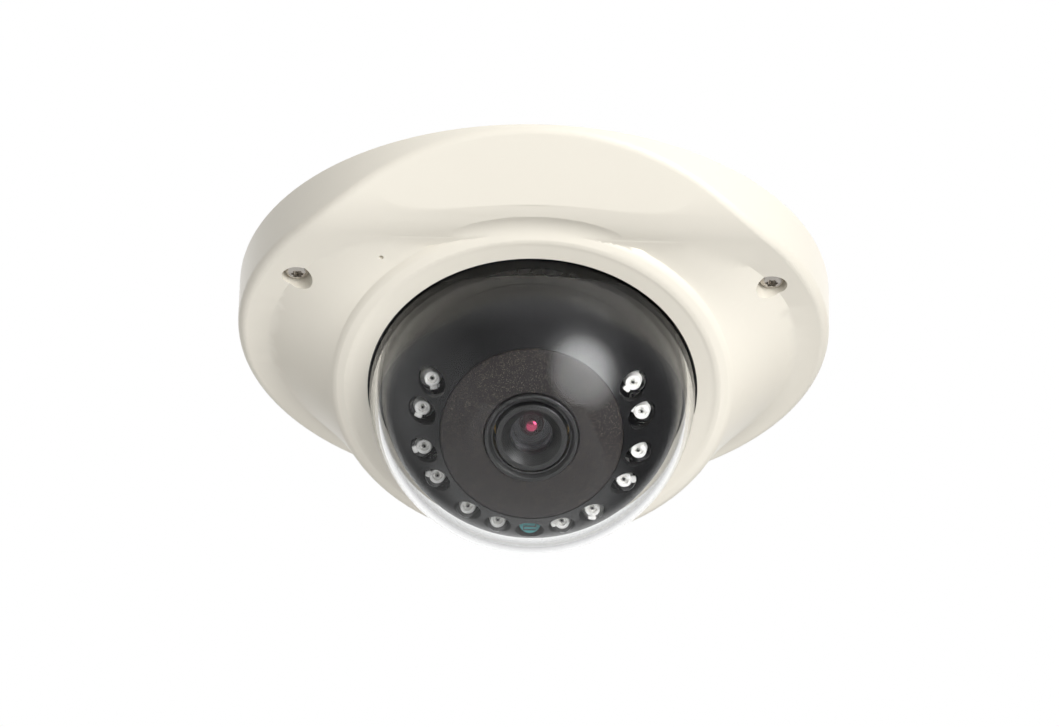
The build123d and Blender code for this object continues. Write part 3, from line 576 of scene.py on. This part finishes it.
# ---------------------------------------------------------------- modelling
def arc(center_r, center_h, radius, start, end, steps):
    """Points of an arc in a turned outline; angles in degrees off the axis."""
    return [
        (center_r + radius * sin(radians(a)), center_h + radius * cos(radians(a)))
        for a in (start + (end - start) * i / steps for i in range(steps + 1))
    ]


def lathe(outline, closed=True, steps=ROUND_STEPS):
    """Turns an outline of (radius, height) round local Z; an open one ends on the axis."""
    bm = bmesh.new()
    points = [bm.verts.new((r, 0, h)) for r, h in outline]
    loop = points[1:] + points[:1] if closed else points[1:]
    edges = [bm.edges.new(pair) for pair in zip(points, loop)]
    bmesh.ops.spin(
        bm, geom=points + edges, cent=(0, 0, 0), axis=(0, 0, 1), angle=2 * pi,
        steps=steps, use_merge=True,
    )
    bmesh.ops.remove_doubles(bm, verts=bm.verts, dist=MERGE_DISTANCE)
    bmesh.ops.recalc_face_normals(bm, faces=bm.faces)
    return bm


def add_to(target, source, matrix):
    """Adds a copy of one bmesh, placed by a matrix, to another."""
    mesh = bpy.data.meshes.new("scratch")
    source.to_mesh(mesh)
    mesh.transform(matrix)
    target.from_mesh(mesh)
    bpy.data.meshes.remove(mesh)


def box_at(center, size, bevel):
    """Small block with rounded edges."""
    bm = bmesh.new()
    bmesh.ops.create_cube(bm, size=1)
    bmesh.ops.scale(bm, vec=size, verts=bm.verts)
    bmesh.ops.bevel(
        bm, geom=bm.edges, offset=bevel, segments=2, profile=0.5, affect="EDGES", material=-1
    )
    bmesh.ops.translate(bm, vec=center, verts=bm.verts)
    return bm


def make_object(bm, name, place):
    """Mesh object at the origin, with its place in its mesh; uses the bmesh up."""
    bmesh.ops.transform(bm, matrix=place, verts=bm.verts)
    mesh = bpy.data.meshes.new(name)
    bm.to_mesh(mesh)
    bm.free()
    piece = bpy.data.objects.new(name, mesh)
    bpy.context.scene.collection.objects.link(piece)
    return piece


def shade(piece):
    """Smooth shading up to the sharp angle."""
    piece.data.shade_smooth()
    piece.data.set_sharp_from_angle(angle=SMOOTH_ANGLE)


def dress(piece, finish, body, stands_for=()):
    """Gives a piece its material and its body, and hides the nodes it stands for."""
    piece.data.materials.clear()
    piece.data.materials.append(finish_named(finish))
    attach(piece, body)
    if stands_for:
        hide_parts(*stands_for)
    return piece


def slight_edges_near(bm, node):
    """Numbers of the edges close to another node that turn by more than a slight angle."""
    points = frame["nodes"][node].data.vertices
    tree = KDTree(len(points))
    for point in points:
        tree.insert(point.co, point.index)
    tree.balance()
    bm.edges.index_update()
    return [
        edge.index for edge in bm.edges
        if edge.calc_face_angle(0) > POCKET_ANGLE
        and tree.find((edge.verts[0].co + edge.verts[1].co) / 2)[2] < POCKET_REACH
    ]


def smooth_copy(node, crisp_near=None):
    """Merged copy of a CAD node, shaded by area so that flats stay flat and rounds stay round."""
    bm = bmesh.new()
    bm.from_mesh(frame["nodes"][node].data)
    bmesh.ops.remove_doubles(bm, verts=bm.verts, dist=CAD_MERGE_DISTANCE)
    bmesh.ops.recalc_face_normals(bm, faces=bm.faces)
    crisp = slight_edges_near(bm, crisp_near) if crisp_near else []
    piece = make_object(bm, node + "_skin", Matrix.Identity(4))
    shade(piece)
    for number in crisp:
        piece.data.edges[number].use_edge_sharp = True
    weighted = piece.modifiers.new("weighted_normals", "WEIGHTED_NORMAL")
    weighted.keep_sharp = True
    weighted.mode = "FACE_AREA_WITH_ANGLE"
    slot = FINISH_OF_NODE[node]
    return dress(piece, slot, BODY_OF_NODE[node], [node])


def around(ring_radius, angle):
    """Place on a ring round the lens axis, turned with it; 0 degrees is at the photocell."""
    return Matrix.Rotation(radians(angle - 90), 4, "Z") @ Matrix.Translation((ring_radius, 0, 0))


# ---------------------------------------------------------------- operators, one for each group
class DOME_OT_carried_pieces(bpy.types.Operator):
    """Finish the CAD pieces; those that no later step replaces keep their own meshes"""

    bl_idname = "dome_camera.carried_pieces"
    bl_label = "Carried pieces"

    def execute(self, context):
        for node, piece in frame["nodes"].items():
            piece.data.materials.clear()
            piece.data.materials.append(finish_named(FINISH_OF_NODE[node]))
        return {"FINISHED"}


class DOME_OT_housing(bpy.types.Operator):
    """Make the painted cover, the base plate and the cable grommet"""

    bl_idname = "dome_camera.housing"
    bl_label = "Housing"

    def execute(self, context):
        smooth_copy("housing_cover", crisp_near="cover_screws")
        for node in ("base_plate", "cable_grommet"):
            smooth_copy(node)
        return {"FINISHED"}


class DOME_OT_bubble(bpy.types.Operator):
    """Make the clear bubble and the gasket round its foot"""

    bl_idname = "dome_camera.bubble"
    bl_label = "Bubble"

    def execute(self, context):
        bubble = settings("dome_bubble")
        outer, inner = bubble.radius, bubble.radius - bubble.wall
        flange_r = half_width("dome_bubble")
        back, front = bubble.seat, bubble.seat + bubble.flange
        soft = 0.3 * MM
        outline = arc(0, bubble.center, outer, 0, 90, 48)
        outline += [(outer, front + 2 * soft)]
        outline += arc(outer + soft, front + soft, soft, -90, -180, 4)
        outline += arc(flange_r - soft, front - soft, soft, 0, 90, 4)
        outline += arc(flange_r - soft, back + soft, soft, 90, 180, 4)
        outline += [(inner + soft, back), (inner, back + soft)]
        outline += arc(0, bubble.center, inner, 90, 0, 48)
        lean = Vector((0, -sin(bubble.lean), -cos(bubble.lean)))
        glass_dome = lathe(outline, closed=False, steps=FULL_ROUND)
        piece = make_object(glass_dome, "clear_dome", leaning_frame(lean))
        shade(piece)
        dress(piece, "clear_bubble", "housing", ["dome_bubble"])
        smooth_copy("dome_gasket")
        return {"FINISHED"}


class DOME_OT_ball(bpy.types.Operator):
    """Make the shells of the camera ball and the speckled disc"""

    bl_idname = "dome_camera.ball"
    bl_label = "Camera ball"

    def execute(self, context):
        ball = settings("dome_ball")
        lens = settings("dome_lens")
        smooth_copy("ball_front")
        smooth_copy("ball_rear")

        rim = 0.35 * MM
        bore = lens.bezel_radius + 0.05 * MM
        crown = lens.bezel_height - 0.7 * MM
        low = ball.disc_height - 0.98 * MM
        outline = [(bore, low), (bore, crown - rim)]
        outline += arc(bore + rim, crown - rim, rim, -90, -10, 4)

        # A cone from the bore to the edge, crowned by a bulge.
        start = Vector(outline[-1])
        fall = Vector((ball.disc_radius - 0.5 * MM, ball.disc_height + 0.1 * MM)) - start
        bulge = Vector((0, 0.42 * MM))
        parts = 13
        for share in (part / parts for part in range(1, parts)):
            outline.append(start + fall * share + bulge * sin(pi * share))

        outline += arc(ball.disc_radius - rim, ball.disc_height - rim, rim, 25, 90, 5)
        outline.append((ball.disc_radius, low))
        piece = make_object(lathe(outline), "speckled_face_disc", BALL_FRAME)
        shade(piece)
        dress(piece, "speckled_disc", "ball", ["front_disc"])
        return {"FINISHED"}


# Heights along the lens axis, and radii, that the barrel shares with the glass in it.
BARREL_BORE = 3.6 * MM
GLASS_SEAT_HEIGHT = 23.4 * MM
SHELF_HEIGHT = 20.4 * MM
BEAD_RADIUS = 2.3 * MM


class DOME_OT_lens(bpy.types.Operator):
    """Make the ring round the lens, the barrel and its glass"""

    bl_idname = "dome_camera.lens"
    bl_label = "Lens"

    def execute(self, context):
        lens = settings("dome_lens")
        self.make_surround(lens.bezel_radius, lens.bezel_height)
        self.make_barrel(lens.head_radius, lens.top_height)
        self.make_glass()
        return {"FINISHED"}

    def make_surround(self, outer, top):
        """Ring round the lens, with a rounded brim and a cone down to its bore."""
        brim, brim_width, soft = 0.3 * MM, 0.75 * MM, 0.12 * MM
        bore, low = outer - 1.7 * MM, top - 5.9 * MM
        ring = arc(outer - brim, top - brim, brim, 90, 0, 5)
        ring += arc(outer - brim_width, top - soft, soft, 0, -50, 3)
        ring += [(outer - 1.4 * MM, top - 0.9 * MM), (bore, top - 0.95 * MM)]
        ring += [(bore, low), (outer, low)]
        piece = make_object(lathe(ring), "lens_surround", BALL_FRAME)
        shade(piece)
        dress(piece, "lens_black", "ball", ["lens_bezel"])

    def make_barrel(self, head, top):
        """M12 barrel: threaded part, head with a cone, seat of the glass, shelf and grooved bore."""
        thread, foot, neck = 5.97 * MM, 11.0 * MM, 21.6 * MM
        barrel = [(BARREL_BORE, foot), (thread, foot), (thread, neck), (head, neck)]

        brim, mouth, soft = 0.3 * MM, 6.25 * MM, 0.1 * MM
        barrel += arc(head - brim, top - brim, brim, 90, 0, 5)
        barrel += arc(mouth, top - soft, soft, 0, -50, 3)

        seat = 4.35 * MM
        barrel += [(seat + 0.1 * MM, top - 2.05 * MM), (seat, top - 2.2 * MM)]
        barrel += [(seat, GLASS_SEAT_HEIGHT)]

        shelf_low = SHELF_HEIGHT - 0.8 * MM
        shelf_bore = BEAD_RADIUS + 0.05 * MM
        barrel += [(BARREL_BORE, GLASS_SEAT_HEIGHT), (BARREL_BORE, SHELF_HEIGHT)]
        barrel += [(shelf_bore, SHELF_HEIGHT), (shelf_bore, shelf_low), (BARREL_BORE, shelf_low)]

        first, pitch, depth, half = 19.2 * MM, 1.4 * MM, 0.25 * MM, 0.25 * MM
        for step in range(6):
            groove = first - pitch * step
            barrel += [(BARREL_BORE, groove), (BARREL_BORE - depth, groove - half)]
            barrel += [(BARREL_BORE, groove - 2 * half)]
        piece = make_object(lathe(barrel), "lens_tube", BALL_FRAME)
        shade(piece)
        dress(piece, "lens_black", "lens", ["lens_barrel"])

    def make_glass(self):
        """Front and rear glass, and the coated inner element that gives the red glint."""
        rim, crown, curve = 4.3 * MM, 24.9 * MM, 13.5 * MM
        back = GLASS_SEAT_HEIGHT + 0.02 * MM
        front = arc(0, crown - curve, curve, 0, 18.5, 16)
        front += [(rim, 24.0 * MM), (rim, back), (0, back)]

        rear_curve, rear_rim, rear_back = 4.4 * MM, 3.5 * MM, 12.0 * MM
        rear = arc(0, 9.0 * MM, rear_curve, 0, 50, 14)
        rear += [(rear_rim, rear_back), (0, rear_back)]

        inner_back = SHELF_HEIGHT - 0.7 * MM
        inner = arc(0, SHELF_HEIGHT, BEAD_RADIUS, 0, 90, 20)
        inner += [(BEAD_RADIUS, inner_back), (0, inner_back)]

        for outline, name, finish, nodes in (
            (front, "front_element", "lens_glass", ["lens_front_glass"]),
            (rear, "rear_element", "lens_glass", ["lens_rear_glass"]),
            (inner, "inner_element", "lens_coating", []),
        ):
            piece = make_object(lathe(outline, closed=False, steps=GLASS_ROUND), name, BALL_FRAME)
            shade(piece)
            dress(piece, finish, "lens", nodes)


LED_SIDE_TWIST = 40  # degrees, to each side
LED_TWIST_RATE = 3  # degrees for each degree along the ring


class DOME_OT_infrared_ring(bpy.types.Operator):
    """Make the twelve clear LEDs with their cups, dies and bond wires"""

    bl_idname = "dome_camera.infrared_ring"
    bl_label = "Infrared ring"

    def execute(self, context):
        ring = settings("dome_infrared")
        foot, tip = ring.foot_height, ring.tip_height
        cup_top = tip - 2.1 * MM
        body = [self.body(ring.led_radius, foot, tip)]
        lead_frame = self.lead_frame(foot, cup_top)
        die = [self.die(cup_top)]
        for name, finish, slot, nodes, parts, turned in (
            ("led_bodies", "led_clear", "led_clear", ["infrared_leds"], body, False),
            ("led_cups", "led_silver", "zinc_steel", [], lead_frame, True),
            ("led_dies", "chip_black", "chip_black", [], die, True),
        ):
            bm = bmesh.new()
            for angle in ring.angles:
                for side in (-1, 1):
                    place = around(ring.ring_radius, side * angle)
                    if turned:  # each LED stands on its leads at an angle of its own
                        twist = LED_SIDE_TWIST * side + LED_TWIST_RATE * angle
                        place = place @ Matrix.Rotation(radians(twist), 4, "Z")
                    for part in parts:
                        add_to(bm, part, place)
            for part in parts:
                part.free()
            piece = make_object(bm, name, BALL_FRAME)
            shade(piece)
            dress(piece, finish, "ball", nodes)
        return {"FINISHED"}

    def body(self, radius, foot, tip):
        """Clear LED body with its foot rim and its round lens end."""
        rim, rim_height, soft = radius + 0.4 * MM, foot + 1.0 * MM, 0.1 * MM
        outline = [(0, foot), (rim, foot)]
        outline += arc(rim - soft, rim_height - soft, soft, 90, 0, 2)
        outline += [(radius, rim_height)]
        outline += arc(0, tip - radius, radius, 90, 0, 16)
        return lathe(outline, closed=False, steps=LED_ROUND)

    def lead_frame(self, foot, cup_top):
        """Reflector cup on its stalk, the second post with its blade, and the bond wire."""
        well, well_depth, stalk = 0.36 * MM, 0.5 * MM, 0.45 * MM
        pad = (0.3 * MM, cup_top - 0.1 * MM)
        cup = [pad, (well, cup_top - well_depth), (0.56 * MM, cup_top - well_depth)]
        cup += [(0.72 * MM, cup_top), (1.08 * MM, cup_top)]
        cup += [(1.15 * MM, cup_top - 0.15 * MM), (1.05 * MM, cup_top - 1.3 * MM)]
        cup += [(stalk, cup_top - 2.2 * MM), (stalk, foot), (0, foot), (0, pad[1])]

        edge = 0.08 * MM
        post_size = (0.55 * MM, 0.6 * MM, cup_top - foot)
        post = box_at((-1.75 * MM, 0, (foot + cup_top) / 2), post_size, edge)
        blade_size = (0.9 * MM, 1.1 * MM, 0.45 * MM)
        blade = box_at((-1.55 * MM, 0, cup_top - 0.2 * MM), blade_size, edge)

        loop, thick = 0.62 * MM, 0.045 * MM
        corners = (pi * k / 4 for k in range(8))
        wire = lathe([(loop + thick * cos(a), thick * sin(a)) for a in corners], steps=WIRE_ROUND)
        bmesh.ops.bisect_plane(
            wire, geom=wire.verts[:] + wire.edges[:] + wire.faces[:], plane_co=(0, 0, 0),
            plane_no=(0, -1, 0), clear_outer=True,
        )
        stand = Matrix.Translation((-loop, 0, cup_top - 0.3 * MM)) @ Matrix.Rotation(pi / 2, 4, "X")
        bmesh.ops.transform(wire, matrix=stand, verts=wire.verts)
        return [lathe(cup, closed=False, steps=CUP_ROUND), post, blade, wire]

    def die(self, cup_top):
        """Small chip on the cup."""
        size = (0.26 * MM, 0.26 * MM, 0.2 * MM)
        return box_at((0, 0, cup_top - 0.02 * MM), size, 0.03 * MM)


class DOME_OT_photocell(bpy.types.Operator):
    """Make the photocell with its winding track and leads"""

    bl_idname = "dome_camera.photocell"
    bl_label = "Photocell"

    def execute(self, context):
        ring = settings("dome_infrared")
        radius, top, foot = ring.cell_radius, ring.cell_height, ring.foot_height
        place = BALL_FRAME @ Matrix.Translation((0, -ring.cell_ring_radius, 0))

        # The ceramic's face lies just under the track; its leads reach into its back.
        soft, face, back = 0.2 * MM, top - 0.1 * MM, top - 1.8 * MM
        outline = [(0, face)]
        outline += arc(radius - soft, face - soft, soft, 0, 90, 4)
        outline += [(radius, back), (0, back)]
        cell = lathe(outline, closed=False, steps=CELL_ROUND)
        wire, lead_offset = 0.28 * MM, 1.3 * MM
        for x in (-lead_offset, lead_offset):
            lead = lathe([(wire, foot), (wire, back + 0.1 * MM)], closed=False, steps=LEAD_ROUND)
            bmesh.ops.holes_fill(lead, edges=lead.edges, sides=LEAD_ROUND)
            add_to(cell, lead, Matrix.Translation((x, 0, 0)))
            lead.free()
        piece = make_object(cell, "photocell_body", place)
        shade(piece)
        dress(piece, "photocell_face", "ball", ["photocell"])

        # Level bars, joined at alternate ends, make the winding track.
        track = bmesh.new()
        bars, pitch, width, reach = 5, 0.78 * MM, 0.26 * MM, 2.5 * MM
        thick, edge, height = 0.1 * MM, 0.03 * MM, top - 0.08 * MM
        for bar in range(bars):
            y = (bar - (bars - 1) / 2) * pitch
            strips = [box_at((0, y, height), (reach, width, thick), edge)]
            if bar < bars - 1:
                side = reach / 2 if bar % 2 else -reach / 2
                link_size = (width, pitch + width, thick)
                strips.append(box_at((side, y + pitch / 2, height), link_size, edge))
            for strip in strips:
                add_to(track, strip, Matrix.Identity(4))
                strip.free()
        piece = make_object(track, "photocell_winding", place)
        shade(piece)
        dress(piece, "photocell_track", "ball")
        return {"FINISHED"}


FLOOR_SIZE = 2.5  # half of its side, in metres
FLOOR_DROP = 2.4
SENSOR_WIDTH = 36.0
CLIP_RANGE = (0.01, 100.0)

# Direction, degrees to the edge of the full light, degrees to its end, share, and of which level.
SOFT_LIGHTS = (
    ((0, 0, 1), 30, 80, 1.0, "surround"),  # above
    ((0, 0.84, 0.54), 16, 44, 0.9, "surround"),  # high behind
    ((0, 0.5, -1), 32, 62, 0.8, "surround"),  # below, towards the back
    ((0, -1, -0.2), 10, 80, 0.22, "surround"),  # weak fill in front
    ((1, 0.1, -0.3), 10, 60, 0.08, "surround"),  # right side
    ((-1, 0.0, -0.3), 10, 60, 0.55, "surround"),  # left side
    ((0.6, -0.77, -0.22), 0, 29, 1.0, "key"),  # key light, front right
)


class DOME_OT_stage(bpy.types.Operator):
    """Set the floor, the soft light and the camera"""

    bl_idname = "dome_camera.stage"
    bl_label = "Stage"

    def execute(self, context):
        scene = context.scene
        scene.view_settings.view_transform = "Standard"
        self.make_floor()
        self.make_light(scene, settings("dome_stage"))
        self.make_camera(scene, settings("dome_stage"))
        return {"FINISHED"}

    def make_floor(self):
        """White floor, far below the camera, which hangs from a ceiling."""
        bm = bmesh.new()
        bmesh.ops.create_grid(bm, x_segments=8, y_segments=8, size=FLOOR_SIZE)
        floor = make_object(bm, "studio_floor", Matrix.Translation((0, 0, -FLOOR_DROP)))
        finish = Finish("studio_floor", (0.86, 0.86, 0.86), 0.7)
        finish.grain(scale=40, bump=0.05, cloud=2, tone=0.02)
        floor.data.materials.append(finish.material)

    def make_light(self, scene, stage):
        """World with a soft lobe of light for each row of the table; the camera sees it white."""
        world = bpy.data.worlds.new("studio")
        scene.world = world
        world.use_nodes = True
        nodes, links = world.node_tree.nodes, world.node_tree.links
        back = nodes["Background"]
        back.inputs["Color"].default_value = (1, 1, 1, 1)
        place = nodes.new("ShaderNodeTexCoord")
        brightness = {"key": stage.key, "surround": stage.surround}
        total = None
        for direction, inner, outer, share, level in SOFT_LIGHTS:
            toward = nodes.new("ShaderNodeVectorMath")
            toward.operation = "DOT_PRODUCT"
            toward.inputs[1].default_value = Vector(direction).normalized()
            links.new(place.outputs["Generated"], toward.inputs[0])
            lobe = nodes.new("ShaderNodeMapRange")
            lobe.interpolation_type = "SMOOTHSTEP"
            lobe.inputs["From Min"].default_value = cos(radians(outer))
            lobe.inputs["From Max"].default_value = cos(radians(inner))
            lobe.inputs["To Max"].default_value = share * brightness[level]
            links.new(toward.outputs["Value"], lobe.inputs["Value"])
            if total is None:
                total = lobe.outputs["Result"]
                continue
            both = nodes.new("ShaderNodeMath")
            both.operation = "ADD"
            links.new(total, both.inputs[0])
            links.new(lobe.outputs["Result"], both.inputs[1])
            total = both.outputs["Value"]
        path = nodes.new("ShaderNodeLightPath")
        seen = nodes.new("ShaderNodeMix")
        links.new(path.outputs["Is Camera Ray"], seen.inputs["Factor"])
        links.new(total, seen.inputs["A"])
        seen.inputs["B"].default_value = 1.0
        links.new(seen.outputs["Result"], back.inputs["Strength"])

    def make_camera(self, scene, stage):
        """Camera that looks up at the dome, rolled a little."""
        look = Vector((0, cos(stage.upward), sin(stage.upward)))
        right = Vector((1, 0, 0))
        up = right.cross(look)
        roll_right = right * cos(stage.roll) + up * sin(stage.roll)
        roll_up = up * cos(stage.roll) - right * sin(stage.roll)
        camera = bpy.data.cameras.new("camera")
        camera.sensor_width = SENSOR_WIDTH
        camera.lens = stage.focal
        camera.clip_start, camera.clip_end = CLIP_RANGE
        holder = bpy.data.objects.new("camera", camera)
        turn = Matrix((roll_right, roll_up, -look)).transposed().to_4x4()
        holder.matrix_world = Matrix.Translation(Vector(stage.aim) - look * stage.distance) @ turn
        scene.collection.objects.link(holder)
        scene.camera = holder


STEPS = (
    DOME_OT_carried_pieces,
    DOME_OT_housing,
    DOME_OT_bubble,
    DOME_OT_ball,
    DOME_OT_lens,
    DOME_OT_infrared_ring,
    DOME_OT_photocell,
    DOME_OT_stage,
)
GROUPS = {
    "dome_housing": DomeHousingSettings,
    "dome_bubble": DomeBubbleSettings,
    "dome_ball": DomeBallSettings,
    "dome_infrared": DomeInfraredSettings,
    "dome_lens": DomeLensSettings,
    "dome_stage": DomeStageSettings,
}


class DOME_PT_panel(bpy.types.Panel):
    """Sizes, colours and building steps of the dome camera"""

    bl_idname = "DOME_PT_panel"
    bl_label = "Dome Camera"
    bl_space_type = "VIEW_3D"
    bl_region_type = "UI"
    bl_category = "Dome Camera"

    def draw(self, context):
        for name, group in GROUPS.items():
            box = self.layout.box()
            box.label(text=group.__doc__)
            for setting in group.__annotations__:
                box.prop(getattr(context.scene, name), setting)
        for step in STEPS:
            self.layout.operator(step.bl_idname)


def register():
    for name, group in GROUPS.items():
        bpy.utils.register_class(group)
        setattr(bpy.types.Scene, name, bpy.props.PointerProperty(type=group))
    for cls in (*STEPS, DOME_PT_panel):
        bpy.utils.register_class(cls)


def unregister():
    for cls in (DOME_PT_panel, *reversed(STEPS)):
        bpy.utils.unregister_class(cls)
    for name, group in reversed(GROUPS.items()):
        delattr(bpy.types.Scene, name)
        bpy.utils.unregister_class(group)


def main():
    register()
    for step in STEPS:
        area, operator = step.bl_idname.split(".")
        getattr(getattr(bpy.ops, area), operator)()


if __name__ == "__main__":
    main()
